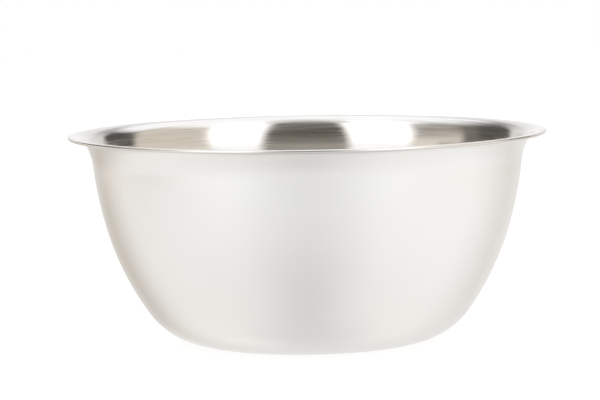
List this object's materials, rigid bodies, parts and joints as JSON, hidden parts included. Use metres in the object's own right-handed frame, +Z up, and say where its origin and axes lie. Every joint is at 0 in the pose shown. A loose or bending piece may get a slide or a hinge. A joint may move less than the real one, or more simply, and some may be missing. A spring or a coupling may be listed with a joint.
{
  "type": "mixing bowl",
  "caption": "Round stainless steel mixing bowl with a flat foot, a deep rounded body, an upright wall and a wide flared lip with a curled edge.",
  "frame": {"origin": "on the bowl's axis, at the level its foot stands on", "axes": "+Z up along the axis of revolution, out of the mouth; X and Y are any two level directions"},
  "size_m": [0.24, 0.24, 0.1055],
  "materials": {
    "stainless_steel": "satin outside, fine circular brush lines inside, bright curled edge"
  },
  "bodies": {
    "root": {"bowl": "stainless_steel"}
  },
  "joints": []
}
